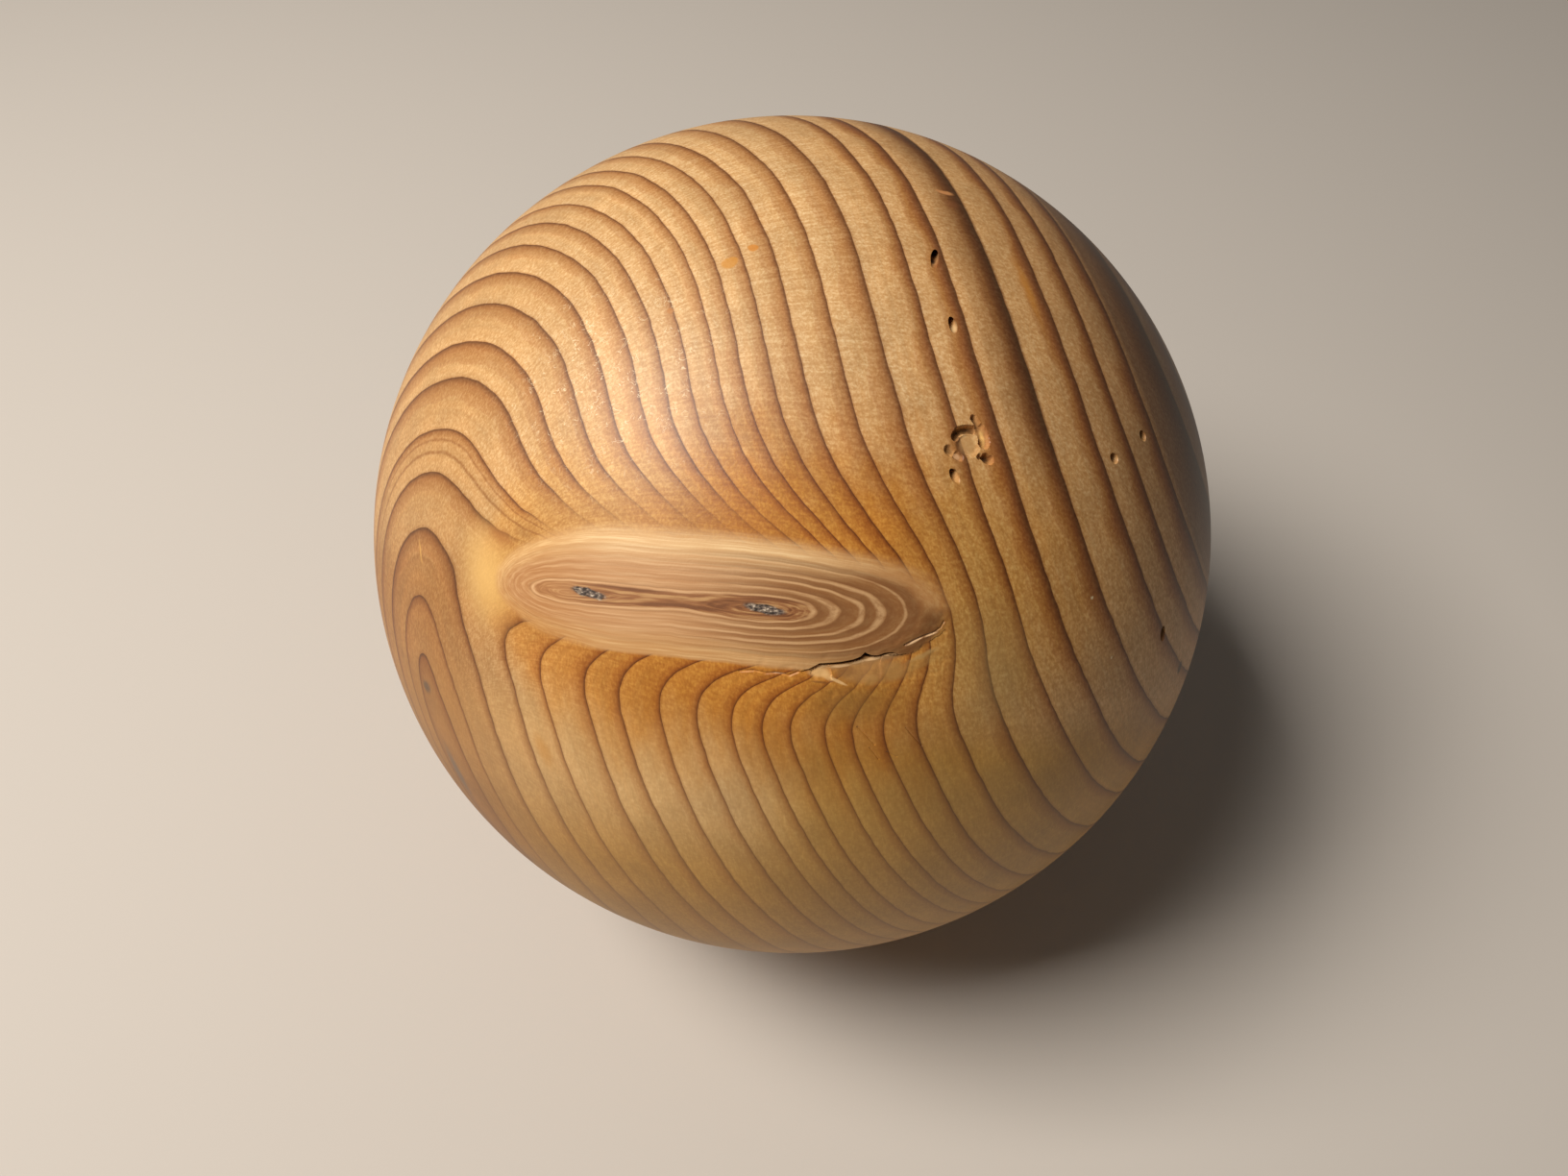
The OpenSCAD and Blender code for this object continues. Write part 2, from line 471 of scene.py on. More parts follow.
def fade_rings(tree, colour, knot, across, along):
    """Loses the rings in pale wood at the upper rim of the knot, and far below it."""
    rim = add(tree, "ShaderNodeMapRange", knot, KNOT_R + 6, KNOT_R, 0, 0.85,
              interpolation_type="SMOOTHSTEP")
    upper = add(tree, "ShaderNodeMapRange", across, -1, 3, interpolation_type="SMOOTHSTEP")
    upper_left = add(tree, "ShaderNodeMapRange", along, 22, 12, interpolation_type="SMOOTHSTEP")
    upper = add(tree, "ShaderNodeMath", upper, upper_left, operation="MULTIPLY")
    rim = add(tree, "ShaderNodeMath", rim, upper, operation="MULTIPLY")
    low_fade = add(tree, "ShaderNodeMapRange", across, -8, -40, 0.1, 0.65)
    fade = add(tree, "ShaderNodeMath", rim, low_fade, operation="MAXIMUM")
    return add(tree, "ShaderNodeMixRGB", fade, colour, to_linear(PALE_WOOD))


def add_false_lines(tree, colour, growth, across):
    """Draws the faint lines of years in which the tree grew twice."""
    above = add(tree, "ShaderNodeMapRange", across, -2, 2, interpolation_type="SMOOTHSTEP")
    for middle, half, strength in FALSE_LINES:
        off = add(tree, "ShaderNodeMath", growth, middle, operation="SUBTRACT")
        off = add(tree, "ShaderNodeMath", off, operation="ABSOLUTE")
        line = add(tree, "ShaderNodeMapRange", off, half, 0, 0, strength, interpolation_type="SMOOTHSTEP")
        line = add(tree, "ShaderNodeMath", line, above, operation="MULTIPLY")
        colour = add(tree, "ShaderNodeMixRGB", line, colour, to_linear(FALSE_LINE_COLOUR))
    return colour


def ring_wood(tree, growth, clouds, knot, knot_parts):
    """Pale early wood that darkens to a thin brown line at the end of each ring."""
    across, _, along = knot_parts.outputs
    phase, number, share = ring_place(tree, growth)
    late = late_wood(tree, phase, number, share, clouds, across)
    early_colour = add(tree, "ShaderNodeValToRGB", phase, stops=EARLY_COLOURS)
    late_colour = add(tree, "ShaderNodeValToRGB", late, stops=LATE_COLOURS)
    dark_late = add(tree, "ShaderNodeValToRGB", late, stops=DARK_LATE_COLOURS)
    outer = add(tree, "ShaderNodeMapRange", share, *DARK_LATE_FROM, interpolation_type="SMOOTHSTEP")

    # Below the knot the outer rings are hardly darker than the others
    high = add(tree, "ShaderNodeMapRange", across, 10, -5, 1, 0.3, interpolation_type="SMOOTHSTEP")
    outer = add(tree, "ShaderNodeMath", outer, high, operation="MULTIPLY")
    late_colour = add(tree, "ShaderNodeMixRGB", outer, late_colour, dark_late)
    is_late = add(tree, "ShaderNodeMath", late, 0, operation="GREATER_THAN")
    colour = add(tree, "ShaderNodeMixRGB", is_late, early_colour, late_colour)
    colour = tint_rings(tree, colour, growth, share, across, along)
    colour = fade_rings(tree, colour, knot, across, along)
    colour = add_false_lines(tree, colour, growth, across)
    tone = add(tree, "ShaderNodeMapRange", clouds, 0.35, 0.65, 0.9, 1.05)
    return add(tree, "ShaderNodeMixRGB", 1, colour, tone, blend_type="MULTIPLY")


def zone_tints(tree, wood, drifts, knot, knot_parts):
    """The wood's colour by place: amber round the knot, pinkish and then olive below it, with painted
    shade towards the ball's lower left.
    """
    across, _, along = knot_parts.outputs
    far = add(tree, "ShaderNodeMath", drifts, 9, knot, operation="MULTIPLY_ADD")
    right = add(tree, "ShaderNodeMapRange", along, 0, 14, interpolation_type="SMOOTHSTEP")
    under = add(tree, "ShaderNodeMapRange", across, 0, -4, interpolation_type="SMOOTHSTEP")
    under_left = add(tree, "ShaderNodeMapRange", along, -9, 6, 0.45, 1)
    under = add(tree, "ShaderNodeMath", under, under_left, operation="MULTIPLY")
    deep_amber = add(tree, "ShaderNodeMath", right, under, operation="MAXIMUM")
    amber = add(tree, "ShaderNodeMixRGB", deep_amber, to_linear("#FFF2CE"), to_linear("#E8C274"))
    tip = add(tree, "ShaderNodeMapRange", along, 25, 33, interpolation_type="SMOOTHSTEP")
    amber = add(tree, "ShaderNodeMixRGB", tip, amber, to_linear("#F0E0B0"))
    near = add(tree, "ShaderNodeMapRange", far, 26, 12.5, interpolation_type="SMOOTHSTEP")
    wood = add(tree, "ShaderNodeMixRGB", near, wood, amber, blend_type="MULTIPLY")

    lower = add(tree, "ShaderNodeMapRange", across, -6, -13, interpolation_type="SMOOTHSTEP")
    pink = add(tree, "ShaderNodeMapRange", across, -28, -17, interpolation_type="SMOOTHSTEP")
    pink_left = add(tree, "ShaderNodeMapRange", along, 22, 12, interpolation_type="SMOOTHSTEP")
    pink = add(tree, "ShaderNodeMath", pink, pink_left, operation="MULTIPLY")
    below = add(tree, "ShaderNodeMixRGB", pink, to_linear("#E0CE90"), to_linear("#FAF6EA"))
    wood = add(tree, "ShaderNodeMixRGB", lower, wood, below, blend_type="MULTIPLY")
    # Painted shade: the wood is darker towards the ball's lower left edge
    painted_lower_left_shade = add(tree, "ShaderNodeMapRange", along, -6, -20, interpolation_type="SMOOTHSTEP")
    low = add(tree, "ShaderNodeMapRange", across, 6, -2, 0.2, 1, interpolation_type="SMOOTHSTEP")
    painted_lower_left_shade = add(tree, "ShaderNodeMath", painted_lower_left_shade, low, operation="MULTIPLY")
    return add(tree, "ShaderNodeMixRGB", painted_lower_left_shade, wood, to_linear("#D8C4A4"), blend_type="MULTIPLY")


def grain(tree, place):
    """The tint that fibres along the trunk give the wood, with rays from its pith to its
    bark, and the pattern of the fibres alone."""
    local = add(tree, "ShaderNodeMapping", place, TRUNK_AT, [math.radians(a) for a in TRUNK_TURN],
                vector_type="TEXTURE")
    parts = add(tree, "ShaderNodeSeparateXYZ", local)
    flat = add(tree, "ShaderNodeCombineXYZ", parts.outputs[0], parts.outputs[1])
    outward = add(tree, "ShaderNodeVectorMath", flat, operation="NORMALIZE")
    reach = add(tree, "ShaderNodeVectorMath", flat, operation="LENGTH").outputs["Value"]

    # Rays are about 0.15 mm thick and 0.3 mm high, and run some 2 mm outwards. Real ones
    # are a tenth as thick, and are drawn as coarse as it takes to see them.
    spread = add(tree, "ShaderNodeVectorMath", outward, sockets={"Scale": 160}, operation="SCALE")
    rays_out = add(tree, "ShaderNodeMath", reach, 0.9, operation="MULTIPLY")
    rays_up = add(tree, "ShaderNodeMath", parts.outputs[2], 3.2, operation="MULTIPLY")
    drift = add(tree, "ShaderNodeCombineXYZ", 0, rays_out, rays_up)
    ray_place = add(tree, "ShaderNodeVectorMath", spread, drift, operation="ADD")
    rays = add(tree, "ShaderNodeTexNoise", ray_place, sockets={"Scale": 1, "Detail": 1})

    # Fibres show as pale hairs 0.2 mm thick and 1 mm long, coarser than the real ones too
    fibre_place = add(tree, "ShaderNodeVectorMath", local, (4.2, 4.2, 1.1), operation="MULTIPLY")
    fibres = add(tree, "ShaderNodeTexNoise", fibre_place,
                 sockets={"Scale": 1, "Detail": 1, "Roughness": 0.8})
    ray_tone = add(tree, "ShaderNodeValToRGB", rays,
                   stops=[(0.35, "#EEE4D8"), (0.5, "#F6F0E8"), (0.66, "#FFFFFF")])
    fibre_tone = add(tree, "ShaderNodeValToRGB", fibres,
                     stops=[(0.36, "#E6D8C4"), (0.52, "#F2E8DC"), (0.66, "#FFFFFF")])
    return add(tree, "ShaderNodeMixRGB", 1, ray_tone, fibre_tone, blend_type="MULTIPLY"), fibres


def knot_ground(tree, knot, across, along):
    """The knot's colour before its rings: pinkish brown, darker to the right, with a
    cream rim."""
    right = add(tree, "ShaderNodeMapRange", along, 6, 22, interpolation_type="SMOOTHSTEP")
    heart = add(tree, "ShaderNodeMixRGB", right, to_linear("#D8AA7A"), to_linear("#A87848"))
    upper = add(tree, "ShaderNodeMapRange", across, -2, 2.5, interpolation_type="SMOOTHSTEP")
    rim = add(tree, "ShaderNodeMixRGB", upper, to_linear("#DEB27A"), to_linear("#F6D29C"))
    rim_right = add(tree, "ShaderNodeMapRange", along, 16, 29, interpolation_type="SMOOTHSTEP")
    upper_right = add(tree, "ShaderNodeMapRange", across, 0, 2, interpolation_type="SMOOTHSTEP")
    tip = add(tree, "ShaderNodeMixRGB", upper_right, to_linear("#8A6036"), to_linear("#D0A068"))
    rim = add(tree, "ShaderNodeMixRGB", rim_right, rim, tip)
    rim_from = add(tree, "ShaderNodeMapRange", along, 19, 27, 2.4, KNOT_RIM)
    outer = add(tree, "ShaderNodeMapRange", knot, rim_from, 4.8, interpolation_type="SMOOTHSTEP")
    colour = add(tree, "ShaderNodeMixRGB", outer, heart, rim)
    left = add(tree, "ShaderNodeMapRange", along, 3, -5, interpolation_type="SMOOTHSTEP")
    colour = add(tree, "ShaderNodeMixRGB", left, colour, to_linear("#F4EADA"), blend_type="MULTIPLY")
    return colour, right


def knot_streaks(tree, knot, across, along):
    """Streaks 0.2 mm thick and some 8 mm long that follow the knot's own rings."""
    streak_out = add(tree, "ShaderNodeMath", knot, 4.5, operation="MULTIPLY")
    streak_up = add(tree, "ShaderNodeMath", across, 1.5, operation="MULTIPLY")
    streak_along = add(tree, "ShaderNodeMath", along, 0.13, operation="MULTIPLY")
    streak_place = add(tree, "ShaderNodeCombineXYZ", streak_out, streak_up, streak_along)
    return add(tree, "ShaderNodeTexNoise", streak_place,
               sockets={"Scale": 1, "Detail": 2, "Roughness": 0.7})


def knot_ring_lines():
    """Two lines of strength by distance from the pith, as a share of the knot's end:
    where a ring starts brown and where it ends in its pale line."""
    starts = [(0, 0)]
    lines = [(0, 0)]
    for middle, half, strength in KNOT_LINES:
        starts += [((middle + half * 0.8) / KNOT_END, 0), ((middle + half) / KNOT_END, 0.5 * strength),
                   ((middle + half + 0.4) / KNOT_END, 0.1)]
        lines += [((middle - half) / KNOT_END, 0), ((middle - 0.3 * half) / KNOT_END, strength),
                  ((middle + 0.3 * half) / KNOT_END, strength), ((middle + half) / KNOT_END, 0)]

    # The last ring stays brown up to the rim
    starts[-1:] = [(KNOT_RIM / KNOT_END, 0.35), ((KNOT_RIM + 0.2) / KNOT_END, 0)]
    return [*starts, (1, 0)], [*lines, (1, 0)]


def knot_wood(tree, knot, parts):
    """Pinkish brown wood with a cream rim, brown and pale ring lines and a rusty heart."""
    across, _, along = parts.outputs
    colour, right = knot_ground(tree, knot, across, along)
    streaks = knot_streaks(tree, knot, across, along)
    streak_tint = add(tree, "ShaderNodeValToRGB", streaks,
                      stops=[(0.34, "#E8D8C8"), (0.5, "#F0E6DC"), (0.66, "#FFFFFF")])
    colour = add(tree, "ShaderNodeMixRGB", 1, colour, streak_tint, blend_type="MULTIPLY")

    # Ring lines are plainest at the right and round the pith
    share = add(tree, "ShaderNodeMath", knot, KNOT_END, operation="DIVIDE")
    dark_line, pale_line = knot_ring_lines()
    inner = add(tree, "ShaderNodeMapRange", knot, 1.45, 1.3, 0, 0.65, interpolation_type="SMOOTHSTEP")
    plain = add(tree, "ShaderNodeMapRange", along, 7, 18, 0.25, 1, interpolation_type="SMOOTHSTEP")
    plain = add(tree, "ShaderNodeMath", plain, inner, operation="MAXIMUM")
    dark = add(tree, "ShaderNodeFloatCurve", None, share, line=dark_line)
    dark = add(tree, "ShaderNodeMath", dark, plain, operation="MULTIPLY")
    colour = add(tree, "ShaderNodeMixRGB", dark, colour, to_linear("#6C4426"))
    most = add(tree, "ShaderNodeMapRange", along, -4, 3, 0.35, 0.85, interpolation_type="SMOOTHSTEP")
    heart = add(tree, "ShaderNodeMapRange", knot, 1.15, 0.95, 0, most, interpolation_type="SMOOTHSTEP")
    rusty = add(tree, "ShaderNodeValToRGB", streaks,
                stops=[(0.38, "#6E4024"), (0.5, "#966038"), (0.64, "#C29460")])
    colour = add(tree, "ShaderNodeMixRGB", heart, colour, rusty)
    pale = add(tree, "ShaderNodeFloatCurve", None, share, line=pale_line)
    pale = add(tree, "ShaderNodeMath", pale, plain, operation="MULTIPLY")
    uneven = add(tree, "ShaderNodeMapRange", streaks, 0.35, 0.55, 0.45, 1)
    pale = add(tree, "ShaderNodeMath", pale, uneven, operation="MULTIPLY")
    pale_colour = add(tree, "ShaderNodeMixRGB", right, to_linear("#ECC292"), to_linear("#D8AC7A"))
    return add(tree, "ShaderNodeMixRGB", pale, colour, pale_colour)


# The wax, and the wood where the surface is broken: between these depths its gloss goes,
# and this deep the painted shade in the openings is as dark as it gets
WAXED_ROUGHNESS = 0.48
BARE_ROUGHNESS = 0.8
BROKEN_DEPTH = (0.08, 0.14)
FULL_SHADE_DEPTH = 2
WAX_IOR = 1.5
FIBRE_HEIGHT = 0.02

# Patches of another colour, with a painted shade and a painted highlight by the crack:
# name, angles across and up the face, half sizes in millimetres, turn, share of the patch
# that fades, colour, strength
STAINS_AND_PAINTED_LIGHT = [
    ("resin blot", (-6.7, 29.5), (0.95, 0.7), 20, 0.3, "#D29038", 0.75),
    ("resin blot", (-4.3, 31.4), (0.6, 0.5), 0, 0.3, "#D08632", 0.85),
    ("resin blot", (-12.7, 24.2), (0.45, 0.4), 0, 0.3, "#BE7C3A", 0.6),
    ("scuff", (17, 44.3), (1.2, 0.45), 0, 0.6, "#DC9A60", 0.75),
    ("scuff", (17.6, 42), (1.1, 0.9), 20, 0.8, "#8A5632", 0.45),
    ("golden streak", (25.8, 31), (0.9, 5.5), 17, 1, "#CE8A38", 0.7),
    ("olive glow", (21.3, -15), (6, 9), 15, 1, "#A48C5A", 0.4),
    # Painted shade: a darker olive patch below the crack
    ("painted shade below the crack", (6, -17), (7, 3.4), 0, 1, "#8A6A34", 0.5),
    ("golden glow", (-34.5, -5), (4.8, 7), 12, 1, "#EEC074", 0.75),
    ("brown shoulder", (-32.3, 0.2), (2.4, 1.1), -25, 0.9, "#B07238", 0.6),
    ("yellow streak", (-46.9, -2.3), (0.25, 1.8), 10, 0.8, "#E8B460", 0.5),
    ("orange blot", (-28.1, -27), (1.2, 2.6), 20, 0.8, "#C98A38", 0.5),
    ("dark blot", (54.8, -28.1), (0.8, 1.0), 10, 0.5, "#3A2816", 0.8),
    ("dark smudge", (-29, 0.3), (1.7, 0.6), -20, 0.9, "#9A6630", 0.5),
    ("dark tip", (14.3, -8), (0.9, 0.45), 35, 0.8, "#4E3018", 0.7),
    ("pith stain", (-48.5, -27.2), (1.2, 1.0), 30, 0.7, "#5A4A3A", 0.75),
    ("pith stain", (-45.5, -45), (1.3, 5), 20, 0.8, "#6E6258", 0.65),
    ("pale speck", (33.1, -7.7), (0.2, 0.2), 0, 0.4, "#E8D4A8", 0.8),
    ("pale speck", (36.9, -16.5), (0.2, 0.2), 0, 0.4, "#E8D4A8", 0.8),
    # Painted highlight: a pale band below the torn ledge
    ("painted highlight band", (12.8, -12.2), (2.3, 0.35), 25, 0.8, "#C8A468", 0.6),
]

# The two pith marks: angles across and up the face, half sizes
PITHS = [((-21.2, -6.1), (2.1, 0.46)), ((-2.9, -7.1), (2.2, 0.48))]
PITH_TURN = -11

# Where the tool lifted hairs: angles across and up the face, half sizes
HAIRS_SPOT = (-19, 18)
HAIRS_SIZE = (17, 15)

# What fills or lines the openings, and painted shade and painted light on their walls,
# lips and facets, by the spot of each: name, offset right and up of the spot, half sizes
# (a third is how far it reaches into the wood), turn, colour, strength
FILLS_AND_PAINTED_LIGHT = {
    TOP_BORE: [
        ("shade in a bore", (0, 0.35), (0.42, 0.9), -10, "#1E120A", 0.95),
    ],
    PACKED_BORE: [
        ("packed dust", (0.12, -0.1), (0.4, 0.8), 0, "#D2AF7C", 0.9),
    ],
    LOW_BORE: [
        ("shade in a bore", (-0.15, 0.35), (0.34, 0.5), -30, "#1E120A", 0.95),
    ],
    GALLERY_SPOT: [
        ("pale plate", (-0.05, 0.1), (0.95, 0.85, 1.2), 0, "#C8995F", 0.6),
        ("bitten line", (-0.4, -0.92), (0.55, 0.07), 4, "#8A5A34", 0.6),
        ("shade in the arch", (-1.0, 1.15), (0.6, 0.26, 1.2), 42, "#402610", 0.9),
        ("shade in the arch", (-0.1, 1.52), (0.75, 0.22, 1.2), 6, "#54381C", 0.85),
        ("shade in the spur", (0.75, 2.05), (0.6, 0.26, 1.2), -55, "#7A5428", 0.8),
        # Painted light on the channel's right wall, which faces the lamp, over its pale fresh wood
        ("painted light on the lit wall", (1.45, 0.75), (0.4, 1.15, 1.2), 8, "#F8C878", 0.9),
        ("shade in a pit", (1.72, -1.02), (0.6, 0.36, 1.2), -12, "#3C2612", 0.9),
        ("shade in a pit", (-1.85, -0.58), (0.5, 0.34, 1.2), -20, "#8C6434", 0.75),
        ("pale pit", (-1.1, -1.02), (0.45, 0.34, 1.2), -20, "#D8AC80", 0.7),
    ],
    CRACK_SPOT: [
        ("facets", (1.0, -1.5), (4.4, 1.35), 2, "#A67A44", 0.6),
        # Painted shade and painted light on facets that face away from the lamp and towards it
        ("painted shade on a facet", (-1.6, -1.3), (1.1, 0.7), 0, "#90602F", 0.5),
        ("painted light on a facet", (0.6, -2.2), (0.8, 0.7), 0, "#BE9050", 0.4),
        ("painted light on a facet", (2.6, -1.5), (1.2, 1.1), 0, "#BE9050", 0.4),
        ("painted light on a facet", (5.2, -0.6), (2.0, 0.8), 24, "#B48A4C", 0.4),
        ("shade by a facet", (-3.9, -2.25), (1.0, 0.14), -8, "#7A4C24", 0.6),
        # Painted light on the lips below the crack, which face the lamp, over their pale fresh wood
        ("painted light on a fresh lip", (-4, -1), (0.9, 0.2), 15, "#F0C690", 0.7),
        ("painted light on a fresh lip", (-2, -0.84), (1.1, 0.17), 4, "#F0C690", 0.7),
        ("painted light on a fresh lip", (-0.5, -0.55), (0.9, 0.17), 14, "#F0C690", 0.7),
        ("painted light on a fresh lip", (0.8, -0.3), (1.1, 0.2), 10, "#F0C690", 0.8),
        ("painted light on a fresh lip", (2.3, 0), (0.9, 0.12), 3, "#F0C690", 0.6),
        # Painted highlights on the facets and the spike that face the lamp
        ("painted highlight on a facet", (-3.9, -1.4), (1.25, 0.55), -4, "#E4B676", 0.85),
        ("painted highlight on a facet", (-3.2, -1.75), (0.8, 0.4), -28, "#E4B676", 0.7),
        ("painted highlight on a spike", (-2.3, -2.2), (1.1, 0.18), -26, "#F0C488", 0.8),
        ("torn rim", (-9.6, -1.24), (1.1, 0.1), 0, "#DCB48C", 0.8),
        ("torn rim", (-7.5, -1.4), (1.2, 0.1), -6, "#DCB48C", 0.8),
        ("torn rim", (4.4, 1.12), (1.0, 0.12), 24, "#E8C090", 0.85),
        ("torn rim", (5.9, 1.66), (0.9, 0.12), 18, "#E8C090", 0.85),
        ("torn rim", (6.8, 2.3), (0.5, 0.1), 58, "#E8C090", 0.75),
    ],
}
FILL_EDGE = 0.5


def lift_hairs(tree, wood, place, ragged, blots):
    """Hairs that the tool lifted catch the light in the upper left of the face, in curls."""
    curls = add(tree, "ShaderNodeTexNoise", place, sockets={"Scale": 0.7, "Detail": 1, "Distortion": 2.5})
    curl_off = add(tree, "ShaderNodeMath", curls, 0.5, operation="SUBTRACT")
    curl_off = add(tree, "ShaderNodeMath", curl_off, operation="ABSOLUTE")
    hairs = add(tree, "ShaderNodeMapRange", curl_off, 0.024, 0.007, 0, 0.8,
                interpolation_type="SMOOTHSTEP")
    some = add(tree, "ShaderNodeMapRange", blots, 0.5, 0.6, interpolation_type="SMOOTHSTEP")
    torn = patch(tree, ragged, HAIRS_SPOT, HAIRS_SIZE, 0, 0.9)
    some = add(tree, "ShaderNodeMath", some, torn, operation="MULTIPLY")
    hairs = add(tree, "ShaderNodeMath", hairs, some, operation="MULTIPLY")
    return add(tree, "ShaderNodeMixRGB", hairs, wood, to_linear("#FFE8BC"))


def set_knot(tree, wood, knot, knot_parts):
    """The knot in its wood: its edge is soft above and at the left, and crisp elsewhere."""
    across, _, along = knot_parts.outputs
    soft = add(tree, "ShaderNodeMapRange", across, -1, 3, 0.2, 0.8)
    soft_left = add(tree, "ShaderNodeMapRange", along, 4, -4, 0, 0.9)
    soft = add(tree, "ShaderNodeMath", soft, soft_left, operation="MAXIMUM")
    edge_from = add(tree, "ShaderNodeMath", KNOT_R, soft, operation="ADD")
    edge_to = add(tree, "ShaderNodeMath", KNOT_R, soft, operation="SUBTRACT")
    in_knot = add(tree, "ShaderNodeMapRange", knot, edge_from, edge_to, interpolation_type="SMOOTHSTEP")
    return add(tree, "ShaderNodeMixRGB", in_knot, wood, knot_wood(tree, knot, knot_parts))


def set_piths(tree, wood, knot_place, ragged):
    """Each pith mark is a bundle of grey fibres with pale ends."""
    pith_place = add(tree, "ShaderNodeVectorMath", knot_place, (5, 5, 2.5), operation="MULTIPLY")
    ends = add(tree, "ShaderNodeTexNoise", pith_place, sockets={"Scale": 1, "Detail": 2})
    pith_colour = add(tree, "ShaderNodeValToRGB", ends, stops=[
        (0.38, "#3A3028"), (0.5, "#6A5C54"), (0.6, "#94826E"), (0.68, "#DCCCB8")])
    for spot, size in PITHS:
        share = patch(tree, ragged, spot, size, PITH_TURN, 0.35)
        wood = add(tree, "ShaderNodeMixRGB", share, wood, pith_colour)
    return wood


def bare_and_shaded_wood(tree, wood, depth):
    """Wood below the surface is bare and paler at first; deeper down it is painted dark as shade."""
    bare = add(tree, "ShaderNodeMapRange", depth, 0.08, 0.3, 0, 0.35)
    # Painted shade: deeper in the openings the wood is painted darker
    deep_shade = add(tree, "ShaderNodeMapRange", depth, 0.4, 0.7)
    bare = add(tree, "ShaderNodeMath", bare, deep_shade, operation="MAXIMUM")
    deep_share = add(tree, "ShaderNodeMath", depth, FULL_SHADE_DEPTH, operation="DIVIDE")
    bare_and_shaded_colour = add(tree, "ShaderNodeValToRGB", deep_share, stops=[
        (0, "#D8AC6E"), (0.15, "#C6985C"), (0.3, "#A47842"), (0.42, "#5C3C1E"), (0.7, "#22150A")])
    return add(tree, "ShaderNodeMixRGB", bare, wood, bare_and_shaded_colour)


def colour_openings(tree, wood, crisp):
    """Painted shade and painted light in and round the openings, with what fills them."""
    for spot, opening_marks in FILLS_AND_PAINTED_LIGHT.items():
        local = face_place(tree, crisp, spot)
        for name, offset, size, turn, colour, strength in opening_marks:
            share = near_patch(tree, local, offset, size, turn, FILL_EDGE, strength)
            wood = add(tree, "ShaderNodeMixRGB", share, wood, to_linear(colour), label=name)
    return wood


def waxed_softwood():
    # Softwood under a thin worn wax: satin, with the rings' colour deep in the surface;
    # bare and rough where the surface is broken
    material, tree, shader = new_material("waxed_turned_softwood")
    object_place = add(tree, "ShaderNodeTexCoord").outputs["Object"]
    place = add(tree, "ShaderNodeVectorMath", object_place, sockets={"Scale": 1 / MM}, operation="SCALE")
    wavered = wavering(tree, place)

    # Clouds are some 6 mm wide and blots 1.2 mm; blots make the edge of a patch ragged
    clouds = add(tree, "ShaderNodeTexNoise", place, sockets={"Scale": 1 / 6, "Detail": 2})
    blots = add(tree, "ShaderNodeTexNoise", place, sockets={"Scale": 1 / 1.2, "Detail": 2})
    push = add(tree, "ShaderNodeVectorMath", blots.outputs["Color"], (0.5, 0.5, 0.5), operation="SUBTRACT")
    crisp = add(tree, "ShaderNodeVectorMath", push, sockets={"Scale": 0.15}, operation="SCALE")
    crisp = add(tree, "ShaderNodeVectorMath", place, crisp, operation="ADD")
    ragged = add(tree, "ShaderNodeVectorMath", push, sockets={"Scale": 0.5}, operation="SCALE")
    ragged = add(tree, "ShaderNodeVectorMath", place, ragged, operation="ADD")

    trunk, trunk_place = trunk_growth(tree, wavered)
    branch = branch_growth(tree, wavered)
    growth = add(tree, "ShaderNodeMath", trunk, branch, JOIN_WIDTH, operation="SMOOTH_MIN")
    knot, knot_place, knot_parts = knot_growth(tree, wavered)

    wood = ring_wood(tree, growth, clouds, knot, knot_parts)
    drift_place = add(tree, "ShaderNodeVectorMath", trunk_place, (0.5, 0.5, 0.1), operation="MULTIPLY")
    drifts = add(tree, "ShaderNodeTexNoise", drift_place, sockets={"Scale": 1, "Detail": 2})
    wood = zone_tints(tree, wood, drifts, knot, knot_parts)
    grain_tone, fibres = grain(tree, place)
    across = knot_parts.outputs[0]
    plain = add(tree, "ShaderNodeMapRange", across, -5, -14, 1, 0.5, interpolation_type="SMOOTHSTEP")
    wood = add(tree, "ShaderNodeMixRGB", plain, wood, grain_tone, blend_type="MULTIPLY")
    wood = lift_hairs(tree, wood, place, ragged, blots)
    for name, spot, size, turn, edge, colour, strength in STAINS_AND_PAINTED_LIGHT:
        share = patch(tree, ragged, spot, size, turn, edge, strength)
        wood = add(tree, "ShaderNodeMixRGB", share, wood, to_linear(colour), label=name)
    wood = set_knot(tree, wood, knot, knot_parts)
    wood = set_piths(tree, wood, knot_place, ragged)

    out = add(tree, "ShaderNodeVectorMath", place, operation="LENGTH").outputs["Value"]
    depth = add(tree, "ShaderNodeMath", BALL_R, out, operation="SUBTRACT")
    wood = bare_and_shaded_wood(tree, wood, depth)
    wood = colour_openings(tree, wood, crisp)
    tree.links.new(wood.outputs[0], shader.inputs["Base Color"])

    rough = add(tree, "ShaderNodeMapRange", depth, *BROKEN_DEPTH, WAXED_ROUGHNESS, BARE_ROUGHNESS)
    tree.links.new(rough.outputs[0], shader.inputs["Roughness"])
    shader.inputs["IOR"].default_value = WAX_IOR
    bump = add(tree, "ShaderNodeBump",
               sockets={"Strength": 0.5, "Distance": FIBRE_HEIGHT * MM, "Height": fibres})
    tree.links.new(bump.outputs[0], shader.inputs["Normal"])
    return material


# ---------------------------------------------------------------- the ball's surface

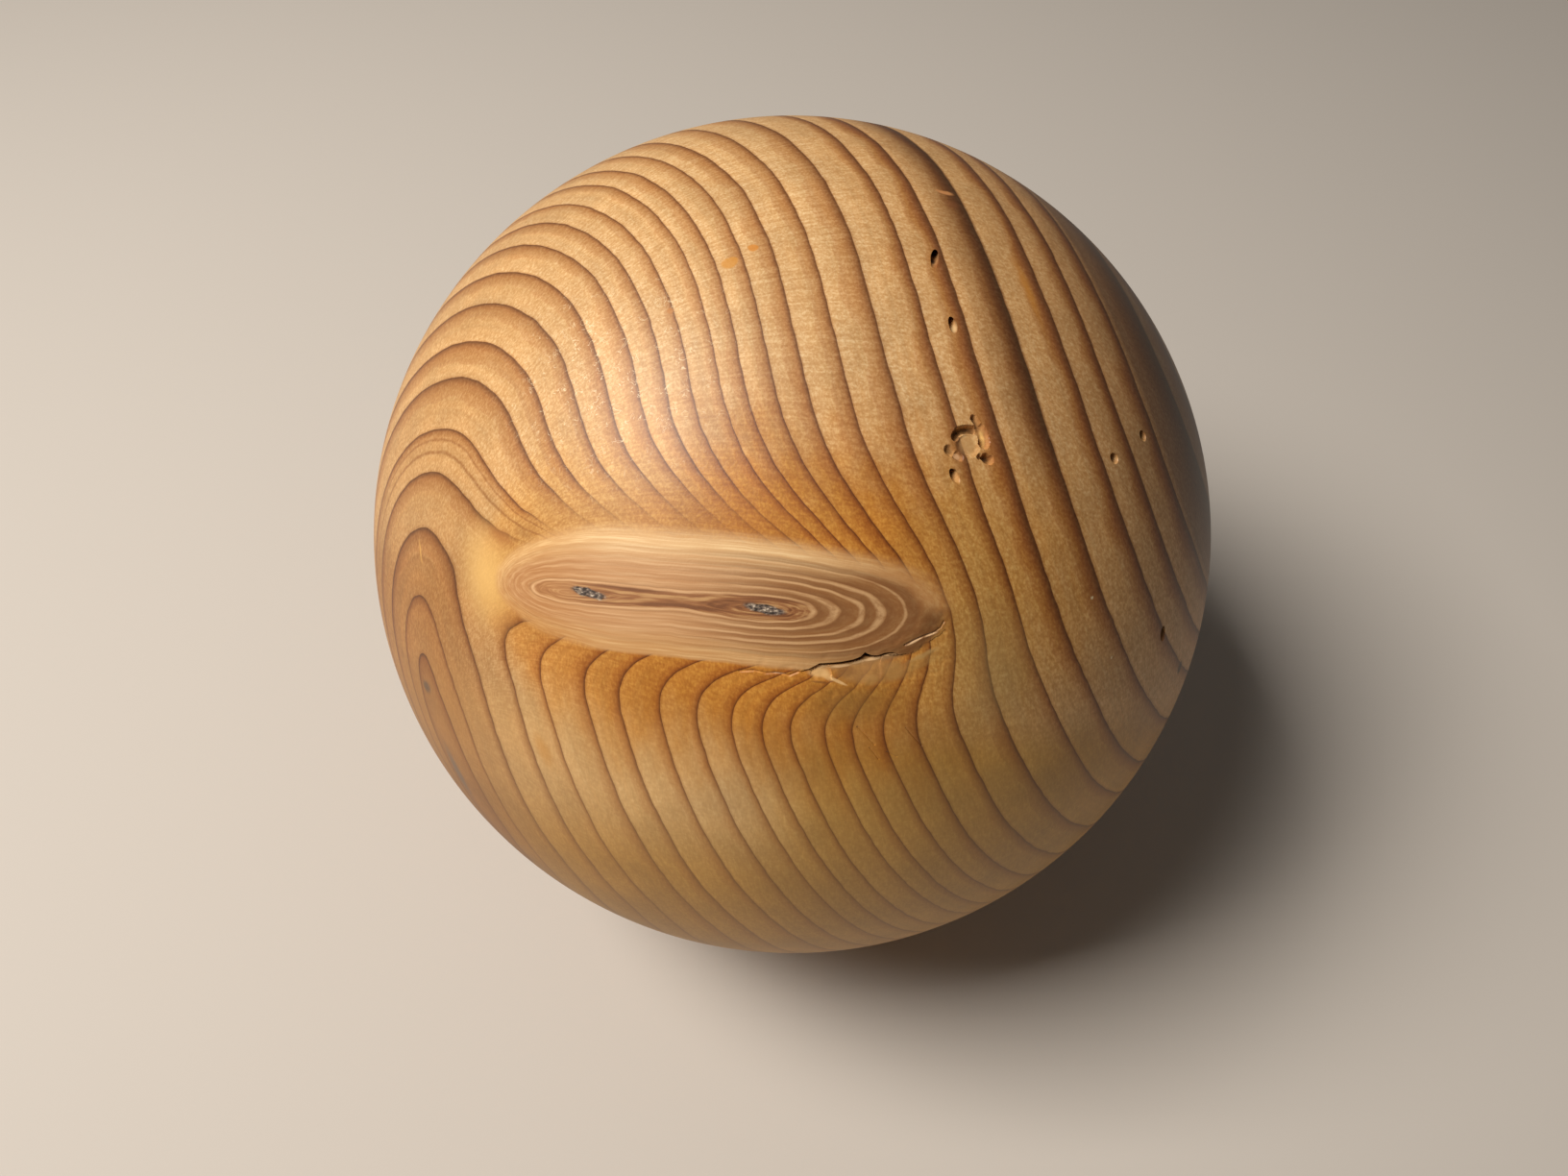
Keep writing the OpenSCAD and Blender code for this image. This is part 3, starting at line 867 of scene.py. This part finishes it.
# Bores: angles across and up the face, diameter, lean from straight in, heading of
# the deep end from the face's right, length
SLANT_BORE_D = 0.8
STRAIGHT_BORE_D = 1.05
BORE_RUN = 8
PACKED_RUN = 1.6
BORES = [
    (*TOP_BORE, SLANT_BORE_D, 71, 82, BORE_RUN),
    (*PACKED_BORE, SLANT_BORE_D, 63, 101, PACKED_RUN),
    (*LOW_BORE, SLANT_BORE_D, 58, 121, BORE_RUN),
    (36.6, 10.5, STRAIGHT_BORE_D, 30, 150, BORE_RUN),
    (42.2, 15.3, STRAIGHT_BORE_D, 25, 140, BORE_RUN),
    (47.3, -16.4, STRAIGHT_BORE_D, 50, 95, BORE_RUN),
]
# Their cutters are tubes with this many sides, rings this far apart and a start this
# far out of the surface. How much their width varies slowly along the bore and quickly
# round it, and how finely
BORE_SIDES = 20
BORE_STEP = 0.5
PROUD = 1
BORE_WOBBLE = 0.08
BORE_WOBBLE_FINENESS = 0.9
BORE_RIPPLE = 0.1
BORE_RIPPLE_FINENESS = 2

# Galleries round their spot on the face: routes in millimetres, width, depth
GALLERIES = [
    ([(-1.3, 0.7), (-1.0, 1.12), (-0.6, 1.36), (0.5, 1.45)], 0.85, 0.7),
    ([(0.5, 2.5), (0.8, 2.1), (1.1, 1.6)], 0.65, 0.5),
    ([(1.1, 1.5), (1.35, 1.1), (1.45, 0.35)], 1.15, 0.5),
    ([(-1.95, -0.5), (-1.7, -0.7)], 0.9, 0.35),
    ([(-1.25, -0.95), (-0.95, -1.1)], 0.85, 0.3),
    ([(1, -0.9), (1.05, -0.95)], 0.6, 0.45),
    ([(1.6, -1.0), (1.95, -1.1)], 0.95, 0.65),
]
# How wide the slope of their walls is, how deep their floors are at the walls as a share
# of their depth and how much that grows towards the middle, and how much both their
# width and depth vary
GALLERY_WALL = 0.16
FLOOR_AT_WALL = 0.8
FLOOR_HOLLOW = 0.4
GNAW_AMOUNT = 0.12

# The shallow hollow that lies between them, and how steep its edge is
HOLLOW_AT = (-0.1, 0.05)
HOLLOW_W = 2.4
HOLLOW_DEPTH = 0.18
HOLLOW_EDGE = 3

# The crack, in millimetres round its spot on the face: right, up and half width of the
# opening
CRACK = [
    (-5.7, -1.3, 0.03), (-4.8, -1.06, 0.09), (-3.9, -0.64, 0.13), (-3, -0.62, 0.13),
    (-2.05, -0.57, 0.14), (-1, -0.4, 0.16), (-0.35, -0.2, 0.2), (0, 0.1, 0.27), (0.25, 0.02, 0.2),
    (0.6, -0.06, 0.15), (1.15, -0.08, 0.12), (1.7, 0.1, 0.11), (2.36, 0.19, 0.08), (3.1, 0.02, 0.02),
]
# Its cutter starts this far above the surface. Steps down from there, and how much of
# the opening is left below each. How uneven its sides are, and how finely
CRACK_PROUD = 0.5
CRACK_STEPS = [(0.5, 1), (0.5, 0.85), (0.8, 0.6), (1.2, 0.15)]
CRACK_UNEVEN = 0.05
CRACK_FINENESS = 3

# Facets that broke out below the crack, from left to right: right end to end, depth at
# the crack at either end, and how far up the lower edge is at either end
FACETS = [
    (-5.4, -4.5, 0.05, 0.32, -1.5, -2.1),
    (-4.5, -2.9, 0.38, 0.3, -2.2, -2.9),
    (-2.9, -0.2, 0.1, 0.38, -2.9, -3.1),
    (-0.2, 1.45, 0.36, 0.28, -3.0, -3.0),
    (1.45, 3.6, 0.2, 0.08, -2.9, -2.7),
    (3.6, 7.2, 0.06, 0.05, -1.7, 0.8),
]
# The facets start at this line, which runs on from the crack along the upper tear
FACETS_TOP = [
    (-5.7, -1.3), (-4.8, -1.06), (-3.9, -0.64), (-2.05, -0.57), (-1, -0.4), (0, 0), (1.15, -0.08),
    (1.7, 0.1), (3.1, 0), (4.2, 0.1), (5.5, 0.9), (7.2, 2),
]
# How far the torn wood's unevenness moves their lower edge and their ends
FACETS_RAGGED = 0.4
FACETS_SHIFT = 0.3

# The torn groove along the knot's lower rim, the ledge at the knot's right end, and how
# much the depth of both varies
TEAR = [(-10.7, -1.28), (-9.5, -1.18), (-8.5, -1.41), (-7.6, -1.36), (-6.5, -1.6), (-5.7, -1.25)]
TEAR_W = 0.26
TEAR_DEPTH = 0.1
LEDGE = [(3.5, 0.85), (4.4, 1.26), (5.2, 1.57), (6, 1.76), (6.7, 2.2), (7, 2.7)]
LEDGE_W = 0.2
LEDGE_DEPTH = 0.09
TEAR_UNEVEN = 0.05

# Fine scratches: angles across and up the face, width, depth
SCRATCHES = [
    ([(6.3, -19.6), (7.4, -20.9), (8.1, -21.8)], 0.16, 0.07),
    ([(9.4, -22.8), (10.5, -23.5)], 0.14, 0.05),
    ([(11.3, -20.1), (12.1, -21.2), (13.1, -22.5)], 0.14, 0.06),
    ([(7.6, -22.1), (8.6, -23.6)], 0.12, 0.05),
]

# The turning left the surface this uneven, over this distance
UNEVEN = 0.02
UNEVEN_OVER = 14

# How far right and up of its spot each kind of mark reaches, and how finely the gnawed
# and the torn wood is uneven
GALLERY_REACH = (4, 4)
CRACK_REACH = (13, 5)
SCRATCH_REACH = (4, 4)
GNAW_FINENESS = 2.2
TEAR_FINENESS = 1.7

# The ball's mesh before its marks, and the angle from which an edge looks sharp
BALL_SUBDIVISIONS = 7
SHARP_FROM = 40

# The mesh is made finer round the marks. Each round halves the edges that lie within
# this distance of a place on them, in millimetres
COARSE_ROUNDS = (1.8, 1.2, 0.9)
FINE_ROUNDS = (0.6,)
ROUTE_STEP = 0.3
SCRATCH_STEPS = 4
# Rows of places over the facets: where they start, their step to the right, how many
# there are, and how far below the facets' top line each row is
FACETS_FROM = -5.5
FACET_STEP = 0.5
FACET_COLUMNS = 26
FACET_ROWS = (0.7, 1.6, 2.5)


def off_route(x, y, route):
    """Distance of a point from a route, and how far to the left of it the point is."""
    best = (1e9, 0)
    for (ax, ay), (bx, by) in zip(route, route[1:]):
        dx, dy = bx - ax, by - ay
        share = ((x - ax) * dx + (y - ay) * dy) / (dx * dx + dy * dy)
        share = min(max(share, 0), 1)
        ox, oy = x - ax - share * dx, y - ay - share * dy
        side = (dx * oy - dy * ox) / math.hypot(dx, dy)
        best = min(best, (math.hypot(ox, oy), side))
    return best


def channel_depth(x, y, route, width, depth):
    """Depth of a round-bottomed groove along a route."""
    off = off_route(x, y, route)[0]
    half = width / 2
    return 0 if off >= half else depth - half + math.sqrt(half * half - off * off)


def gnawed_depth(x, y, route, width, depth):
    """Depth of a groove with steep walls and a hollow floor."""
    inside = width / 2 - off_route(x, y, route)[0]
    floor = FLOOR_AT_WALL + FLOOR_HOLLOW * inside / width
    return 0 if inside <= 0 else depth * min(1, inside / GALLERY_WALL) * floor


def line_height(x, points):
    """How far up a line of points is at a place to the right."""
    for (ax, ay, *_), (bx, by, *_) in zip(points, points[1:]):
        if ax <= x <= bx:
            return ay + (by - ay) * (x - ax) / (bx - ax)
    return points[0][1] if x < points[0][0] else points[-1][1]


def facet_depth(x, y, tear):
    """Depth of the flat facets, which are deepest along the crack and rise away from it."""
    top = line_height(x, FACETS_TOP)
    for start, end, deep_start, deep_end, low_start, low_end in FACETS:
        if start <= x < end and y < top:
            share = (x - start) / (end - start)
            low = low_start + (low_end - low_start) * share + FACETS_RAGGED * tear
            deep = deep_start + (deep_end - deep_start) * share
            return deep * (y - low) / (top - low)
    return 0


def gallery_depth(x, y, gnaw):
    """Depth of the galleries and of the hollow between them."""
    vary = 1 + GNAW_AMOUNT * gnaw
    depths = [gnawed_depth(x, y, route, width * vary, depth * vary) for route, width, depth in GALLERIES]
    away = math.hypot(x - HOLLOW_AT[0], y - HOLLOW_AT[1]) / (HOLLOW_W / 2)
    depths.append(HOLLOW_DEPTH * min(1, HOLLOW_EDGE * (1 - away)))
    return max(0, *depths)


def crack_side_depth(x, y, tear):
    """Depth of the facets and torn grooves along the crack."""
    depths = [facet_depth(x + FACETS_SHIFT * tear, y, tear)]
    depths.append(channel_depth(x, y, LEDGE, LEDGE_W, LEDGE_DEPTH) + TEAR_UNEVEN * tear)
    depths.append(channel_depth(x, y, TEAR, TEAR_W, TEAR_DEPTH) + TEAR_UNEVEN * tear)
    return max(0, *depths)


def points_between(a, b, steps):
    """Evenly spaced points from one point to another, with both ends."""
    return [(a[0] + (b[0] - a[0]) * i / steps, a[1] + (b[1] - a[1]) * i / steps) for i in range(steps + 1)]


def routes_on_ball():
    """Places along all that needs the finest mesh."""
    places = [on_face(*bore[:2]).translation for bore in BORES]
    for spot, routes in ((GALLERY_SPOT, [route for route, *_ in GALLERIES]),
                         (CRACK_SPOT, [CRACK, LEDGE, TEAR])):
        for route in routes:
            for a, b in zip(route, route[1:]):
                steps = math.ceil(math.dist(a[:2], b[:2]) / ROUTE_STEP)
                places += [on_face(*spot) @ Vector((*point, 0)) for point in points_between(a, b, steps)]
    for route, *_ in SCRATCHES:
        for a, b in zip(route, route[1:]):
            places += [on_face(*point).translation for point in points_between(a, b, SCRATCH_STEPS)]
    return places


def facets_on_ball():
    """Places in rows over the facets."""
    places = []
    for i in range(FACET_COLUMNS):
        right = FACETS_FROM + FACET_STEP * i
        top = line_height(right, FACETS_TOP)
        places += [on_face(*CRACK_SPOT) @ Vector((right, top - down, 0)) for down in FACET_ROWS]
    return places


def refine(bm, places, reach):
    """Halves every edge within reach of the places, and keeps its corners on the ball."""
    near = kdtree.KDTree(len(places))
    for i, place in enumerate(places):
        near.insert(place.normalized() * BALL_R * MM, i)
    near.balance()
    edges = [edge for edge in bm.edges
             if near.find((edge.verts[0].co + edge.verts[1].co) / 2)[2] < reach * MM]
    bmesh.ops.subdivide_edges(bm, edges=edges, cuts=1)
    bmesh.ops.triangulate(bm, faces=[face for face in bm.faces if len(face.verts) > 3])
    for vert in bm.verts:
        vert.co = vert.co.normalized() * BALL_R * MM


def within(local, wide, high):
    """Whether a place in a mark's frame is near the mark and not on the ball's far side."""
    return abs(local.x) < wide and abs(local.y) < high and local.z > -BALL_R


def shape_surface(bm):
    """Sinks the surface where insects gnawed, fibres tore and the tool left it uneven."""
    gallery_frame = on_face(*GALLERY_SPOT).inverted()
    crack_frame = on_face(*CRACK_SPOT).inverted()
    scratches = []
    for route, width, depth in SCRATCHES:
        scratch_frame = on_face(*route[0]).inverted()
        points = [(scratch_frame @ on_face(*point).translation)[:2] for point in route]
        scratches.append((scratch_frame, points, width, depth))
    for vert in bm.verts:
        place = vert.co / MM
        depth = UNEVEN + UNEVEN * noise.noise(place / UNEVEN_OVER)
        local = gallery_frame @ place
        if within(local, *GALLERY_REACH):
            depth += gallery_depth(local.x, local.y, noise.noise(place * GNAW_FINENESS))
        local = crack_frame @ place
        if within(local, *CRACK_REACH):
            depth += crack_side_depth(local.x, local.y, noise.noise(place * TEAR_FINENESS))
        for scratch_frame, points, width, deep in scratches:
            local = scratch_frame @ place
            if within(local, *SCRATCH_REACH):
                depth += channel_depth(local.x, local.y, points, width, deep)
        vert.co = place.normalized() * (BALL_R - depth) * MM


def extend(bm, face, step):
    """Extrudes one face by a step and returns its new verts and the new face. Its edges
    are passed too, so that no face is left inside the solid."""
    grown = bmesh.ops.extrude_face_region(bm, geom=[face, *face.edges])["geom"]
    ring = [item for item in grown if isinstance(item, bmesh.types.BMVert)]
    bmesh.ops.translate(bm, verts=ring, vec=(0, 0, step))
    return ring, next(item for item in grown if isinstance(item, bmesh.types.BMFace))


def add_bore(bm, across, up, diameter, lean, heading, run):
    """A round tube through the surface that wanders a little, as an insect bores it."""
    way = on_face(across, up) @ Matrix.Rotation(math.radians(heading), 4, "Z")
    way = way @ Matrix.Rotation(math.radians(180 - lean), 4, "Y")
    lead_in = diameter * math.tan(math.radians(lean)) + PROUD
    ring = bmesh.ops.create_circle(bm, cap_ends=True, segments=BORE_SIDES, radius=diameter / 2)["verts"]
    bmesh.ops.translate(bm, verts=ring, vec=(0, 0, -lead_in))
    face = ring[0].link_faces[0]
    tube = set(ring)
    steps = round((lead_in + run) / BORE_STEP)
    for _ in range(steps):
        ring, face = extend(bm, face, (lead_in + run) / steps)
        tube.update(ring)
    for vert in tube:
        wobble = noise.noise(Vector((across, up, vert.co.z * BORE_WOBBLE_FINENESS)))
        ripple = noise.noise(vert.co * BORE_RIPPLE_FINENESS + Vector((across, up, 0)))
        vert.co.xy *= 1 + BORE_WOBBLE * wobble + BORE_RIPPLE * ripple
    bmesh.ops.transform(bm, matrix=way, verts=list(tube))


def add_crack(bm):
    """A wedge that narrows to next to nothing at the crack's depth."""
    left = [bm.verts.new((x, y + half, CRACK_PROUD)) for x, y, half in CRACK]
    right = [bm.verts.new((x, y - half, CRACK_PROUD)) for x, y, half in reversed(CRACK)]
    face = bm.faces.new(left + right)
    wedge = set(face.verts)
    for down, narrow in CRACK_STEPS:
        ring, face = extend(bm, face, -down)
        for vert in ring:
            middle = line_height(vert.co.x, CRACK)
            uneven = CRACK_UNEVEN * noise.noise(vert.co * CRACK_FINENESS)
            vert.co.y = middle + (vert.co.y - middle) * narrow + uneven
        wedge.update(ring)
    bmesh.ops.transform(bm, matrix=on_face(*CRACK_SPOT), verts=list(wedge))


def cut_out(piece, bm):
    """Takes the solids in bm out of the piece."""
    bmesh.ops.recalc_face_normals(bm, faces=bm.faces)
    for vert in bm.verts:
        vert.co *= MM
    mesh = bpy.data.meshes.new("cut")
    bm.to_mesh(mesh)
    bm.free()
    cutter = bpy.data.objects.new("cut", mesh)
    bpy.context.collection.objects.link(cutter)
    cut = piece.modifiers.new("cut", "BOOLEAN")
    cut.object = cutter
    cut.operation = "DIFFERENCE"
    cut.solver = "MANIFOLD"
    depsgraph = bpy.context.evaluated_depsgraph_get()
    whole = piece.data
    piece.data = bpy.data.meshes.new_from_object(piece.evaluated_get(depsgraph))
    piece.modifiers.remove(cut)
    bpy.data.objects.remove(cutter)
    bpy.data.meshes.remove(mesh)
    bpy.data.meshes.remove(whole)


def turned_ball(material):
    bm = bmesh.new()
    bmesh.ops.create_icosphere(bm, subdivisions=BALL_SUBDIVISIONS, radius=BALL_R * MM)
    fine = routes_on_ball()
    coarse = fine + facets_on_ball()
    for reach in COARSE_ROUNDS:
        refine(bm, coarse, reach)
    for reach in FINE_ROUNDS:
        refine(bm, fine, reach)
    shape_surface(bm)
    ball = new_piece("turned_ball", bm, material)

    cutters = bmesh.new()
    for bore in BORES:
        add_bore(cutters, *bore)
    add_crack(cutters)
    cut_out(ball, cutters)
    ball.data.shade_smooth()
    ball.data.set_sharp_from_angle(angle=math.radians(SHARP_FROM))
    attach(ball, "root")
    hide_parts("ball")


set_camera()
set_light()
add_floor()
turned_ball(waxed_softwood())
